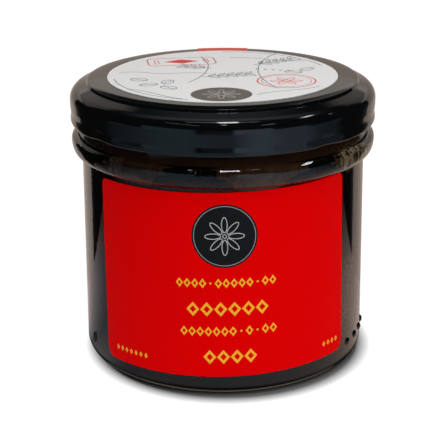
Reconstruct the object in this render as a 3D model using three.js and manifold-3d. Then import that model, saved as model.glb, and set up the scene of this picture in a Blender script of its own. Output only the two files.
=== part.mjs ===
// A shut, low and wide glass jar of mini babas under a metal twist-off lid.
// Millimetres, +Z up. The origin is the centre of the jar's foot, on the surface it stands on.
// The front, with the paper label, faces -Y.

import * as THREE from 'three';
import Module from 'manifold-3d';
import { mergeVertices } from 'three/addons/utils/BufferGeometryUtils.js';

const wasm = await Module();
wasm.setup();

// Facets round everything that is turned about the jar's axis
const TURN_SEGMENTS = 64;

// Glass body, wider by half a millimetre at the heel than under the bead
const HEEL_ROUND = 3.4;
const BODY_RADIUS_LOW = 40.4;
const BODY_RADIUS_HIGH = 39.85;
const BODY_TOP = 58.9;
const FOOT_INNER_RADIUS = 31.0;
const PUNT_RADIUS = 27.0;
const PUNT_HEIGHT = 1.4;

// Glass bead that stands out under the lid: a low lip and a round top that meets the neck
const BEAD_RADIUS = 42.67;
const BEAD_CORNER_RADIUS = 42.1;
const BEAD_CORNER_Z = 60.1;
const BEAD_MIDDLE_Z = 62.4;
const BEAD_FULL_Z = 63.0;
const BEAD_ROUND = 1.9;

// Glass mouth, hidden in the lid
const NECK_RADIUS = 39.4;
const NECK_TOP = 68.3;
const RIM_TOP = 76.4;
const RIM_ROUND = 1.2;
const MOUTH_RADIUS = 36.9;

// Inside of the glass
const INNER_RADIUS = 37.5;
const INNER_FLOOR = 5.2;
const INNER_FLOOR_RISE = 0.5;
const INNER_ROUND = 4.0;

// Mould marks that stand out of the glass just above the heel
const MARK_Z = 7.0;
const MARK_RISE = 0.65;
const DOT_WIDTH = 2.4;
const DOT_HEIGHT = 2.1;
const DOT_COUNT = 4;
const DOT_FIRST_ANGLE = 60;
const DOT_STEP_ANGLE = 8;
const TICK_ANGLE = -66;
const TICK_WIDTH = 1.0;
const TICK_HEIGHT = 3.6;

// Lid: flat panel with a low crown, steep step, sloping shoulder, knuckle, skirt and rolled foot
const LID_RADIUS = 42.75;
const LID_BOTTOM = 67.9;
const PANEL_Z = 79.6;
const PANEL_RADIUS = 35.7;
const CROWN_RADIUS = 37.7;
const CROWN_Z = 79.33;
const STEP_RADIUS = 38.25;
const STEP_Z = 78.45;
const SHOULDER_RADIUS = 40.75;
const SHOULDER_Z = 77.55;
const KNUCKLE_Z = 74.3;
const KNUCKLE_ROUND = 3.6;
const KNUCKLE_TURN = 57;
const LID_WALL = 0.6;
const WAIST_RADIUS = 42.55;
const WAIST_Z = 70.6;
const CURL_ROUND = 0.75;

// Round paper sticker on the lid's panel
const STICKER_RADIUS = 32.2;
const STICKER_THICKNESS = 0.18;
const PAPER_GAP = 0.02;

// Red seal strip from the sticker over the lid's back edge and down to the bead
const STRIP_WIDTH = 14.5;
const STRIP_THICKNESS = 0.15;
const STRIP_GAP = 0.05;
const STRIP_START_RADIUS = 32.5;
const STRIP_END_Z = 62.6;
const STRIP_COLUMNS = 8;

// Paper label on the front, put on a little askew
const LABEL_WIDTH = 75.1;
const LABEL_HEIGHT = 51.8;
const LABEL_MIDDLE_Z = 32.1;
const LABEL_TILT = 1.08;
const LABEL_CORNER_TOP = 1.8;
const LABEL_CORNER_BOTTOM = 3.0;
const LABEL_GAP = 0.12;
const LABEL_THICKNESS = 0.25;
const LABEL_COLUMNS = 26;
const CORNER_COLUMNS = 4;

// Mini babas: small domed corks that stand in two tiers round one in the middle
const BABA_HEIGHT = 28.5;
const BABA_FOOT_RADIUS = 10.2;
const BABA_WAIST_RADIUS = 11.3;
const BABA_CAP_RADIUS = 12.6;
const BABA_CAP_Z = 22.0;
const BABA_SEGMENTS = 10;
const BABAS_ROUND = 7;
const TIER_RADIUS = 25.0;
const TIER_COUNT = 2;
const TIER_STEP = 28.2;
const CORE_RADIUS = 21.0;
const CORE_TOP = 56.0;
const HEAP_CLEARANCE = 0.35;
const HEAP_TOP_LIMIT = 66.0;
const BABA_LEAN = 5;

const radians = THREE.MathUtils.degToRad;
const point = (x, y) => new THREE.Vector2(x, y);

/** Points of a circular arc, its angles in degrees from the radial axis towards the top. */
function arc(centre, radius, from, to, steps) {
  return Array.from({ length: steps + 1 }, (_, i) => {
    const angle = radians(from + ((to - from) * i) / steps);
    return point(centre.x + radius * Math.cos(angle), centre.y + radius * Math.sin(angle));
  });
}

/** Turns a profile of radius and height about +Z. */
function turned(profile, segments = TURN_SEGMENTS) {
  const geometry = new THREE.LatheGeometry(profile, segments);
  geometry.rotateX(Math.PI / 2);
  return geometry;
}

/** Makes a manifold solid from a closed three.js geometry. */
function solid(geometry) {
  const bare = geometry.clone();
  bare.deleteAttribute('normal');
  bare.deleteAttribute('uv');
  const merged = mergeVertices(bare, 1e-4);
  return new wasm.Manifold(
    new wasm.Mesh({
      numProp: 3,
      vertProperties: new Float32Array(merged.attributes.position.array),
      triVerts: new Uint32Array(merged.index.array),
    }),
  );
}

/** Gives a manifold solid back as a three.js geometry. */
function geometryOf(body) {
  const mesh = body.getMesh();
  const geometry = new THREE.BufferGeometry();
  geometry.setAttribute('position', new THREE.BufferAttribute(mesh.vertProperties, 3));
  geometry.setIndex(new THREE.BufferAttribute(mesh.triVerts, 1));
  geometry.computeVertexNormals();
  return geometry;
}

/** Radius of the glass body's outside at a height. */
function bodyRadius(z) {
  const share = (z - HEEL_ROUND) / (BODY_TOP - HEEL_ROUND);
  return THREE.MathUtils.lerp(BODY_RADIUS_LOW, BODY_RADIUS_HIGH, share);
}

/** Outside of the bead: a low lip, a full middle, a rounded top and the slope up to the neck. */
function beadProfile() {
  return [
    point(BODY_RADIUS_HIGH, BODY_TOP),
    point(BEAD_CORNER_RADIUS - 0.9, BODY_TOP + 0.3),
    point(BEAD_CORNER_RADIUS, BEAD_CORNER_Z),
    point(BEAD_RADIUS - 0.17, BEAD_MIDDLE_Z - 1.2),
    point(BEAD_RADIUS, BEAD_MIDDLE_Z),
    ...arc(point(BEAD_RADIUS - BEAD_ROUND, BEAD_FULL_Z), BEAD_ROUND, 0, 90, 4),
    point(NECK_RADIUS + 1, BEAD_FULL_Z + BEAD_ROUND),
    point(NECK_RADIUS, NECK_TOP),
  ];
}

/** The glass: foot, punt, heel, body, bead, mouth and the whole inside. */
function makeJar() {
  const heelCentre = point(BODY_RADIUS_LOW - HEEL_ROUND, HEEL_ROUND);
  const rimOuter = point(NECK_RADIUS - RIM_ROUND, RIM_TOP - RIM_ROUND);
  const rimInner = point(MOUTH_RADIUS + RIM_ROUND, RIM_TOP - RIM_ROUND);
  const innerCorner = point(INNER_RADIUS - INNER_ROUND, INNER_FLOOR + INNER_ROUND);
  const profile = [
    point(0, PUNT_HEIGHT),
    point(PUNT_RADIUS * 0.6, PUNT_HEIGHT * 0.8),
    point(PUNT_RADIUS, PUNT_HEIGHT * 0.3),
    point(FOOT_INNER_RADIUS, 0),
    ...arc(heelCentre, HEEL_ROUND, -90, 0, 5),
    ...beadProfile(),
    ...arc(rimOuter, RIM_ROUND, 0, 90, 3),
    ...arc(rimInner, RIM_ROUND, 90, 180, 3),
    point(INNER_RADIUS, BODY_TOP),
    ...arc(innerCorner, INNER_ROUND, 0, -90, 4),
    point(0, INNER_FLOOR + INNER_FLOOR_RISE),
  ];
  let glass = solid(turned(profile));
  for (let i = 0; i < DOT_COUNT; i += 1) {
    glass = glass.add(solid(mouldMark(DOT_FIRST_ANGLE + i * DOT_STEP_ANGLE, DOT_WIDTH, DOT_HEIGHT)));
  }
  glass = glass.add(solid(mouldMark(TICK_ANGLE, TICK_WIDTH, TICK_HEIGHT)));
  return geometryOf(glass);
}

/** A raised bump on the glass, at an angle counted from the front towards +X. */
function mouldMark(angle, width, height) {
  const bump = new THREE.SphereGeometry(1, 8, 6);
  bump.scale(width / 2, MARK_RISE, height / 2);
  bump.translate(0, -bodyRadius(MARK_Z), MARK_Z);
  bump.rotateZ(radians(angle));
  return bump;
}

/** Outside of the lid, from the middle of its panel down to the widest point of its rolled foot. */
function lidOutside() {
  const knuckle = point(LID_RADIUS - KNUCKLE_ROUND, KNUCKLE_Z);
  const curl = point(LID_RADIUS - CURL_ROUND, LID_BOTTOM + CURL_ROUND);
  return [
    point(0, PANEL_Z),
    point(PANEL_RADIUS, PANEL_Z),
    point(CROWN_RADIUS, CROWN_Z),
    point(STEP_RADIUS, STEP_Z),
    point(SHOULDER_RADIUS, SHOULDER_Z),
    ...arc(knuckle, KNUCKLE_ROUND, KNUCKLE_TURN, 0, 5),
    point(LID_RADIUS - 0.05, WAIST_Z + 1.6),
    point(WAIST_RADIUS, WAIST_Z),
    ...arc(curl, CURL_ROUND, 20, -90, 3),
  ];
}

/** The lid: the outside above, and inside it a wall of even thickness over the glass. */
function makeLid() {
  const inner = LID_RADIUS - LID_WALL;
  const curlInner = LID_RADIUS - 2 * CURL_ROUND;
  const knuckle = point(LID_RADIUS - KNUCKLE_ROUND, KNUCKLE_Z);
  const profile = [
    ...lidOutside(),
    point(curlInner, LID_BOTTOM + CURL_ROUND),
    point(curlInner, LID_BOTTOM + 2 * CURL_ROUND),
    point(inner - 0.3, WAIST_Z),
    ...arc(knuckle, KNUCKLE_ROUND - LID_WALL, 0, KNUCKLE_TURN, 3),
    point(SHOULDER_RADIUS - LID_WALL / 2, SHOULDER_Z - LID_WALL),
    point(STEP_RADIUS - LID_WALL, STEP_Z - LID_WALL),
    point(CROWN_RADIUS - LID_WALL, CROWN_Z - LID_WALL),
    point(0, PANEL_Z - LID_WALL),
  ];
  return turned(profile.reverse());
}

/** The round sticker, flat on the panel. */
function makeSticker() {
  const bottom = PANEL_Z + PAPER_GAP;
  const top = bottom + STICKER_THICKNESS;
  return turned([point(0, bottom), point(STICKER_RADIUS, bottom), point(STICKER_RADIUS, top), point(0, top)]);
}

/** The line that the seal strip follows over the lid: radius and height at each bend. */
function stripLine() {
  const over = lidOutside().filter((p) => p.x > STRIP_START_RADIUS && p.y > WAIST_Z + 1);
  return [point(STRIP_START_RADIUS, PANEL_Z), ...over, point(LID_RADIUS, STRIP_END_Z)];
}

/** Outward directions at the bends of a line of radius and height. */
function outwardDirections(line) {
  return line.map((p, i) => {
    const before = line[Math.max(i - 1, 0)];
    const after = line[Math.min(i + 1, line.length - 1)];
    const along = after.clone().sub(before).normalize();
    return point(-along.y, along.x);
  });
}

/** The seal strip: a box of many columns, laid over the lid's outside at the back. */
function makeStrip() {
  const line = stripLine();
  const outward = outwardDirections(line);
  const rows = line.length - 1;
  const strip = new THREE.BoxGeometry(STRIP_WIDTH, 1, rows, STRIP_COLUMNS, 1, rows);
  const places = strip.attributes.position;
  for (let i = 0; i < places.count; i += 1) {
    const bend = Math.round(rows / 2 - places.getZ(i));
    const depth = STRIP_GAP + (places.getY(i) > 0 ? STRIP_THICKNESS : 0);
    const radius = line[bend].x + outward[bend].x * depth;
    const height = line[bend].y + outward[bend].y * depth;
    const across = places.getX(i);
    places.setXYZ(i, across, Math.sqrt(radius * radius - across * across), height);
  }
  return strip;
}

/** Distances across the label of its columns, with more of them at the round corners. */
function labelColumns() {
  const half = LABEL_WIDTH / 2;
  const flat = half - LABEL_CORNER_BOTTOM;
  const corner = arc(point(0, 0), LABEL_CORNER_BOTTOM, 90, 0, CORNER_COLUMNS).map((p) => flat + p.x);
  const middle = Array.from({ length: LABEL_COLUMNS - 1 }, (_, i) => flat * ((2 * (i + 1)) / LABEL_COLUMNS - 1));
  return [...corner.map((x) => -x).reverse(), ...middle, ...corner];
}

/** How far a round corner pulls the label's edge in, at a distance across from the middle. */
function cornerPull(across, round) {
  const into = Math.abs(across) - (LABEL_WIDTH / 2 - round);
  return into > 0 ? round - Math.sqrt(Math.max(round * round - into * into, 0)) : 0;
}

/** The label: a thin box bent round the glass, its corners rounded and the whole turned askew. */
function makeLabel() {
  const columns = labelColumns();
  const count = columns.length - 1;
  const label = new THREE.BoxGeometry(count, 1, 1, count, 1, 1);
  const places = label.attributes.position;
  const tilt = radians(LABEL_TILT);
  for (let i = 0; i < places.count; i += 1) {
    const across = columns[Math.round(places.getX(i) + count / 2)];
    const half = LABEL_HEIGHT / 2;
    const top = half - cornerPull(across, LABEL_CORNER_TOP);
    const bottom = cornerPull(across, LABEL_CORNER_BOTTOM) - half;
    const up = places.getZ(i) > 0 ? top : bottom;
    const arcLength = across * Math.cos(tilt) - up * Math.sin(tilt);
    const height = LABEL_MIDDLE_Z + across * Math.sin(tilt) + up * Math.cos(tilt);
    const radius = bodyRadius(height) + LABEL_GAP + (places.getY(i) < 0 ? LABEL_THICKNESS : 0);
    const angle = arcLength / BODY_RADIUS_LOW;
    places.setXYZ(i, radius * Math.sin(angle), -radius * Math.cos(angle), height);
  }
  return label;
}

/** A repeatable number from -1 to 1 for one baba, so that no two stand alike. */
function sway(index, kind) {
  return Math.sin(12.9 * index + 4.1 * kind + 1);
}

/** One baba: a narrow foot, a cork's body and a domed cap that has risen over it. */
function babaGeometry() {
  const profile = [
    point(0, 0),
    point(BABA_FOOT_RADIUS, 0.6),
    point(BABA_WAIST_RADIUS, BABA_CAP_Z - 5),
    point(BABA_CAP_RADIUS, BABA_CAP_Z - 1.5),
    point(BABA_CAP_RADIUS * 0.9, BABA_CAP_Z + 3),
    point(BABA_CAP_RADIUS * 0.5, BABA_HEIGHT - 0.8),
    point(0, BABA_HEIGHT),
  ];
  return turned(profile, BABA_SEGMENTS);
}

/** Stands a baba in its tier, a little leaning and turned its own way. */
function placedBaba(index, distance, angle, base) {
  const baba = babaGeometry();
  const size = 1 + 0.03 * sway(index, 1);
  baba.scale(size, size, size);
  baba.rotateZ(radians(40 * sway(index, 2)));
  baba.rotateX(radians(BABA_LEAN * sway(index, 3)));
  baba.rotateY(radians(BABA_LEAN * sway(index, 4)));
  baba.translate(distance, 0, base + 0.8 * sway(index, 5));
  baba.rotateZ(radians(angle + 2 * sway(index, 6)));
  return baba;
}

/** The space for the heap: the inside of the glass, less the clearance. */
function heapSpace() {
  const radius = INNER_RADIUS - HEAP_CLEARANCE;
  const floor = INNER_FLOOR + INNER_FLOOR_RISE + HEAP_CLEARANCE;
  const corner = point(radius - INNER_ROUND, floor + INNER_ROUND);
  const mouth = MOUTH_RADIUS - HEAP_CLEARANCE;
  return turned([
    point(0, floor),
    ...arc(corner, INNER_ROUND, -90, 0, 3),
    point(radius, BODY_TOP - 1),
    point(mouth, HEAP_TOP_LIMIT),
    point(0, HEAP_TOP_LIMIT),
  ]);
}

/** The heap: all babas fused to a plain core, pressed flat where they meet the glass. */
function makeBabas() {
  const floor = INNER_FLOOR + INNER_FLOOR_RISE;
  const core = new THREE.CylinderGeometry(CORE_RADIUS, CORE_RADIUS, CORE_TOP - floor, 24);
  core.rotateX(Math.PI / 2);
  core.translate(0, 0, (CORE_TOP + floor) / 2);
  let heap = solid(core);
  let index = 0;
  for (let tier = 0; tier < TIER_COUNT; tier += 1) {
    const base = floor + 1 + tier * TIER_STEP;
    for (let i = 0; i < BABAS_ROUND; i += 1) {
      const angle = (360 / BABAS_ROUND) * (i + (1 - tier) / 2);
      heap = heap.add(solid(placedBaba(index, TIER_RADIUS, angle, base)));
      index += 1;
    }
  }
  const middle = floor + 1 + (TIER_COUNT - 1) * TIER_STEP;
  heap = heap.add(solid(placedBaba(index, 0, 0, middle)));
  return geometryOf(heap.intersect(solid(heapSpace())));
}

/** A named mesh with its own material. */
function part(name, geometry, settings) {
  const mesh = new THREE.Mesh(geometry, new THREE.MeshStandardMaterial(settings));
  mesh.name = name;
  return mesh;
}

const jarOfBabas = new THREE.Group();
jarOfBabas.add(
  part('jar', makeJar(), { color: '#b9bdb8', roughness: 0.05, metalness: 0, transparent: true, opacity: 0.35 }),
  part('lid', makeLid(), { color: '#0b0d0f', roughness: 0.15, metalness: 0 }),
  part('lid_sticker', makeSticker(), { color: '#dedddf', roughness: 0.6, metalness: 0 }),
  part('seal_strip', makeStrip(), { color: '#d8262a', roughness: 0.5, metalness: 0 }),
  part('label', makeLabel(), { color: '#cb0000', roughness: 0.5, metalness: 0 }),
  part('babas', makeBabas(), { color: '#3a2013', roughness: 0.6, metalness: 0 }),
);

export default jarOfBabas;
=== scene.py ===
"""A shut, low glass jar of mini babas in dark syrup, under a black twist-off lid.

Sizes are in millimetres on the jar's own axes: +Z up the jar, -Y out of the paper label at the
front, +X to the right as the label is read. Meshes are turned to metres when they are finished.
"""

import logging
import math
from collections.abc import Callable, Sequence
from dataclasses import dataclass
from enum import Enum

import bmesh
import bpy
from mathutils import Matrix, Vector, noise


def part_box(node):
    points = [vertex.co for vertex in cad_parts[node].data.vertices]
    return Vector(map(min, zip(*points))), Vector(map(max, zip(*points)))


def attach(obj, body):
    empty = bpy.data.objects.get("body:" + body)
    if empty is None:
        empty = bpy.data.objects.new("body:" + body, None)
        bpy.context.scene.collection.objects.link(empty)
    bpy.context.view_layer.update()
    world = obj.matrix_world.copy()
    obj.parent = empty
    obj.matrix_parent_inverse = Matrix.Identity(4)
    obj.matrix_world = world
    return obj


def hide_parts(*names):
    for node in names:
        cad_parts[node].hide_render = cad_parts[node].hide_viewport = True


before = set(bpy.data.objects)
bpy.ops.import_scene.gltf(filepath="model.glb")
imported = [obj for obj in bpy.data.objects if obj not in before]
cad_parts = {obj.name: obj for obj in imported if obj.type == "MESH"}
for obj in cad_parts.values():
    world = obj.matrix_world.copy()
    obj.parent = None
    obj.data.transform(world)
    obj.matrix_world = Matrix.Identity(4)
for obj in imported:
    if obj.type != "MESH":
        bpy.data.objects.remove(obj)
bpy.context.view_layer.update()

MM = 0.001
BODY = "root"
TURN_STEPS = 192
ARC_STEP = math.radians(9)
DEPTH_LAYER = "syrup_over_it"

# Edges shorter than this are merged, and lengths and shares below the other count as nothing
MERGED = 1e-4
NEAR = 0.01

# A Mix node's settings for colours, and its sockets then, which only their numbers tell apart
MIX_COLOURS = {"data_type": "RGBA"}
MIX_SHARE, MIX_FIRST, MIX_LAST = 0, 6, 7
MIX_RESULT = 2

# A Map Range node's setting for a soft start and end
SMOOTH = {"interpolation_type": "SMOOTHSTEP"}

# Short names for types: two numbers, three numbers, and what each socket of a node gets
Pair = tuple[float, float]
Triple = tuple[float, float, float]
Inputs = dict[str | int, object]

log = logging.getLogger("jar_of_babas")


class Colour(Enum):
    """Colours of paper, ink and enamel, as sRGB hex."""

    LABEL_RED = "#e00002"
    SEAL_RED = "#e8554e"
    STICKER_WHITE = "#f0efee"
    INK_YELLOW = "#f2b02c"
    INK_CHARCOAL = "#17181b"
    INK_SILVER = "#8f9092"
    INK_WHITE = "#b9b9b8"
    INK_STONE = "#6b645e"
    INK_GREY = "#666a6d"
    INK_RED = "#e2453c"
    ENAMEL_BLACK = "#060708"


def linear(hex_code: str) -> tuple[float, float, float, float]:
    """Turns an sRGB hex colour into linear values.

    Args:
        hex_code: The colour as # and six hex digits.

    Returns:
        Linear red, green and blue, with an alpha of one.
    """
    parts = [int(hex_code[i : i + 2], 16) / 255 for i in (1, 3, 5)]
    red, green, blue = (c / 12.92 if c <= 0.04045 else ((c + 0.055) / 1.055) ** 2.4 for c in parts)
    return red, green, blue, 1.0


def per_metre(size: float) -> float:
    """Gives the scale at which a pattern on metres repeats about every size millimetres."""
    return 1 / (size * MM)


def ends(side: str, limits: Pair, unit: float = 1.0) -> Inputs:
    """Gives the Min and Max sockets of one side, From or To, their limits in a unit."""
    return {f"{side} Min": limits[0] * unit, f"{side} Max": limits[1] * unit}


def node_box(node: str) -> tuple[Vector, Vector]:
    """Gives a CAD node's lowest and highest corners in millimetres."""
    low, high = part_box(node)
    return low / MM, high / MM


def add_node(
    tree: bpy.types.NodeTree,
    kind: str,
    settings: dict[str, object] | None = None,
    inputs: Inputs | None = None,
) -> bpy.types.Node:
    """Adds a node with its settings and links.

    Args:
        tree: The node tree that takes the node.
        kind: The node's type name, less the ShaderNode that all of them start with.
        settings: Properties of the node.
        inputs: What each socket gets: a value, or another node's output socket.

    Returns:
        The new node.
    """
    made = tree.nodes.new("ShaderNode" + kind)
    for name, value in (settings or {}).items():
        setattr(made, name, value)
    for socket, value in (inputs or {}).items():
        if isinstance(value, bpy.types.NodeSocket):
            tree.links.new(value, made.inputs[socket])
        else:
            made.inputs[socket].default_value = value
    return made


@dataclass(frozen=True)
class Finish:
    """A surface finish, whose material is made once and shared."""

    name: str

    def material(self) -> bpy.types.Material:
        """Gives the finish's material, made at its first use.

        Returns:
            The material.
        """
        known = bpy.data.materials.get(self.name)
        if known is not None:
            return known
        made = bpy.data.materials.new(self.name)
        made.use_nodes = True
        tree = made.node_tree
        tree.nodes.clear()
        place = add_node(tree, "TexCoord").outputs["Object"]
        shader = add_node(tree, "BsdfPrincipled", inputs=self.surface(tree, place))
        add_node(tree, "OutputMaterial", inputs={"Surface": shader.outputs["BSDF"]})
        return made

    def surface(self, tree: bpy.types.NodeTree, place: bpy.types.NodeSocket) -> Inputs:
        """Makes the finish's patterns.

        Args:
            tree: The material's node tree.
            place: Gives each point's place on the object, in metres.

        Returns:
            What each socket of the shader gets.
        """
        raise NotImplementedError


@dataclass(frozen=True)
class Enamel(Finish):
    """Stoved black enamel on pressed tinplate: a deep mirror gloss with a faint orange peel."""

    colour: Colour = Colour.ENAMEL_BLACK
    roughness: float = 0.07
    ior: float = 1.5
    peel_size: float = 1.6
    peel_depth: float = 0.004
    smear_size: float = 14.0
    smear_range: Pair = (0.75, 1.35)

    def surface(self, tree: bpy.types.NodeTree, place: bpy.types.NodeSocket) -> Inputs:
        """Makes the orange peel, and smears that make the gloss a little uneven.

        Args:
            tree: The material's node tree.
            place: Gives each point's place on the object, in metres.

        Returns:
            What each socket of the shader gets.
        """
        peel = add_node(
            tree, "TexNoise", inputs={"Vector": place, "Scale": per_metre(self.peel_size), "Detail": 1.0}
        )
        bump = add_node(
            tree, "Bump", inputs={"Height": peel.outputs["Fac"], "Distance": self.peel_depth * MM}
        )
        smear = add_node(
            tree, "TexNoise", inputs={"Vector": place, "Scale": per_metre(self.smear_size), "Detail": 3.0}
        )
        span = ends("To", self.smear_range, self.roughness)
        rough = add_node(tree, "MapRange", inputs={"Value": smear.outputs["Fac"], **span})
        return {
            "Base Color": linear(self.colour.value),
            "Roughness": rough.outputs["Result"],
            "IOR": self.ior,
            "Normal": bump.outputs["Normal"],
        }


@dataclass(frozen=True)
class PressedGlass(Finish):
    """Clear soda-lime glass blown in a mould: colourless, with soft waves that bend what is behind."""

    # The linear shares of red, green and blue light that pass
    clearness: Triple = (0.97, 0.98, 0.97)
    ior: float = 1.52
    wave_size: float = 9.0
    wave_depth: float = 0.02

    def surface(self, tree: bpy.types.NodeTree, place: bpy.types.NodeSocket) -> Inputs:
        """Makes the waves that the mould leaves.

        Args:
            tree: The material's node tree.
            place: Gives each point's place on the object, in metres.

        Returns:
            What each socket of the shader gets.
        """
        wave = add_node(
            tree, "TexNoise", inputs={"Vector": place, "Scale": per_metre(self.wave_size), "Detail": 0.0}
        )
        bump = add_node(
            tree, "Bump", inputs={"Height": wave.outputs["Fac"], "Distance": self.wave_depth * MM}
        )
        return {
            "Base Color": (*self.clearness, 1.0),
            "Roughness": 0.0,
            "IOR": self.ior,
            "Transmission Weight": 1.0,
            "Normal": bump.outputs["Normal"],
        }


@dataclass(frozen=True)
class CoffeeSyrup(Finish):
    """Thick coffee and spirit syrup: nearly black in the body, brown and streaky where it wets the neck.

    High on the wall it is a thin brown film with crumbs of sponge. The crumbs are painted pale at the
    sides as painted light through the thin film. They fade into painted shade towards the front, and fade
    above the bead.
    """

    deep: str = "#0a0504"
    thin: str = "#1c0c07"
    film: str = "#54331b"
    # Pale crumbs: the sponge's own crumb, made paler with painted light through the thin film
    crumbs: str = "#efd8aa"
    cloud_size: float = 11.0
    cloud_range: Pair = (0.42, 0.7)
    streak_size: float = 1.3
    streak_range: Pair = (0.42, 0.62)
    film_range: Pair = (56.5, 59.5)
    crumbs_range: Pair = (61.2, 63.2)
    crumbs_above: float = 0.1
    # Painted light: the crumbs show in full at the sides and fade into painted shade in front
    side_light_range: Pair = (24.0, 34.0)
    crumbs_in_shaded_front: float = 0.03
    roughness: float = 0.25
    ior: float = 1.36
    gloss: float = 0.1

    def surface(self, tree: bpy.types.NodeTree, place: bpy.types.NodeSocket) -> Inputs:
        """Makes the dark body's clouds, and the film with its crumbs.

        Args:
            tree: The material's node tree.
            place: Gives each point's place on the object, in metres.

        Returns:
            What each socket of the shader gets.
        """
        cloud = add_node(
            tree, "TexNoise", inputs={"Vector": place, "Scale": per_metre(self.cloud_size), "Detail": 3.0}
        )
        span = ends("From", self.cloud_range)
        tone = add_node(tree, "MapRange", inputs={"Value": cloud.outputs["Fac"], **span})
        body = add_node(
            tree,
            "Mix",
            MIX_COLOURS,
            {MIX_SHARE: tone.outputs["Result"], MIX_FIRST: linear(self.deep), MIX_LAST: linear(self.thin)},
        )
        streak = add_node(
            tree, "TexNoise", inputs={"Vector": place, "Scale": per_metre(self.streak_size), "Detail": 4.0}
        )
        span = ends("From", self.streak_range)
        grain = add_node(tree, "MapRange", inputs={"Value": streak.outputs["Fac"], **span})
        axes = add_node(tree, "SeparateXYZ", inputs={0: place})
        # Painted light at the sides, fading into painted shade towards the front
        across = add_node(tree, "Math", {"operation": "ABSOLUTE"}, {0: axes.outputs["X"]})
        span = ends("From", self.side_light_range, MM)
        side_light = add_node(
            tree,
            "MapRange",
            SMOOTH,
            {"Value": across.outputs["Value"], **span, "To Min": self.crumbs_in_shaded_front},
        )
        span = ends("From", self.crumbs_range, MM)
        below = add_node(
            tree,
            "MapRange",
            SMOOTH,
            {"Value": axes.outputs["Z"], **span, "To Min": 1.0, "To Max": self.crumbs_above},
        )
        crumbs = grain.outputs["Result"]
        for shown in (below, side_light):
            part = {0: crumbs, 1: shown.outputs["Result"]}
            crumbs = add_node(tree, "Math", {"operation": "MULTIPLY"}, part).outputs["Value"]
        film = add_node(
            tree,
            "Mix",
            MIX_COLOURS,
            {MIX_SHARE: crumbs, MIX_FIRST: linear(self.film), MIX_LAST: linear(self.crumbs)},
        )
        span = ends("From", self.film_range, MM)
        high = add_node(tree, "MapRange", SMOOTH, {"Value": axes.outputs["Z"], **span})
        colour = add_node(
            tree,
            "Mix",
            MIX_COLOURS,
            {
                MIX_SHARE: high.outputs["Result"],
                MIX_FIRST: body.outputs[MIX_RESULT],
                MIX_LAST: film.outputs[MIX_RESULT],
            },
        )
        return {
            "Base Color": colour.outputs[MIX_RESULT],
            "Roughness": self.roughness,
            "IOR": self.ior,
            "Specular IOR Level": self.gloss,
        }


@dataclass(frozen=True)
class SoakedSponge(Finish):
    """Yeast sponge soaked in dark syrup: golden-brown crumb walls round wet, nearly black pores.

    It darkens with the syrup over it, and higher up, where it is soaked through.
    """

    crust: str = "#54301a"
    crumb: str = "#9a6636"
    pore: str = "#1b0d06"
    sunk: str = "#0c0504"
    patch_size: float = 7.0
    patch_range: Pair = (0.4, 0.66)
    pore_size: float = 1.3
    pore_blend: float = 0.35
    pore_range: Pair = (0.22, 0.5)
    pore_depth: float = 0.35
    clear_depth: float = 4.6
    soaked_range: Pair = (33.0, 42.0)
    roughness: float = 0.45
    ior: float = 1.36
    gloss: float = 0.1

    def surface(self, tree: bpy.types.NodeTree, place: bpy.types.NodeSocket) -> Inputs:
        """Makes the crumb's patches and pores, and sinks them in the syrup.

        Args:
            tree: The material's node tree.
            place: Gives each point's place on the object, in metres.

        Returns:
            What each socket of the shader gets.
        """
        patch = add_node(
            tree, "TexNoise", inputs={"Vector": place, "Scale": per_metre(self.patch_size), "Detail": 4.0}
        )
        span = ends("From", self.patch_range)
        tone = add_node(tree, "MapRange", inputs={"Value": patch.outputs["Fac"], **span})
        bread = add_node(
            tree,
            "Mix",
            MIX_COLOURS,
            {
                MIX_SHARE: tone.outputs["Result"],
                MIX_FIRST: linear(self.crust),
                MIX_LAST: linear(self.crumb),
            },
        )
        cells = add_node(
            tree,
            "TexVoronoi",
            {"feature": "SMOOTH_F1"},
            {"Vector": place, "Scale": per_metre(self.pore_size), "Smoothness": self.pore_blend},
        )
        span = ends("From", self.pore_range)
        wall = add_node(tree, "MapRange", inputs={"Value": cells.outputs["Distance"], **span})
        colour = add_node(
            tree,
            "Mix",
            MIX_COLOURS,
            {
                MIX_SHARE: wall.outputs["Result"],
                MIX_FIRST: linear(self.pore),
                MIX_LAST: bread.outputs[MIX_RESULT],
            },
        )
        depth = add_node(tree, "Attribute", {"attribute_name": DEPTH_LAYER})
        span = ends("From", (0.0, self.clear_depth))
        drowned = add_node(tree, "MapRange", SMOOTH, {"Value": depth.outputs["Fac"], **span})
        axes = add_node(tree, "SeparateXYZ", inputs={0: place})
        span = ends("From", self.soaked_range, MM)
        soaked = add_node(tree, "MapRange", SMOOTH, {"Value": axes.outputs["Z"], **span})
        dark = add_node(
            tree,
            "Math",
            {"operation": "MAXIMUM"},
            {0: drowned.outputs["Result"], 1: soaked.outputs["Result"]},
        )
        seen = add_node(
            tree,
            "Mix",
            MIX_COLOURS,
            {
                MIX_SHARE: dark.outputs["Value"],
                MIX_FIRST: colour.outputs[MIX_RESULT],
                MIX_LAST: linear(self.sunk),
            },
        )
        bump = add_node(
            tree, "Bump", inputs={"Height": wall.outputs["Result"], "Distance": self.pore_depth * MM}
        )
        return {
            "Base Color": seen.outputs[MIX_RESULT],
            "Roughness": self.roughness,
            "IOR": self.ior,
            "Specular IOR Level": self.gloss,
            "Normal": bump.outputs["Normal"],
        }


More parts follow.
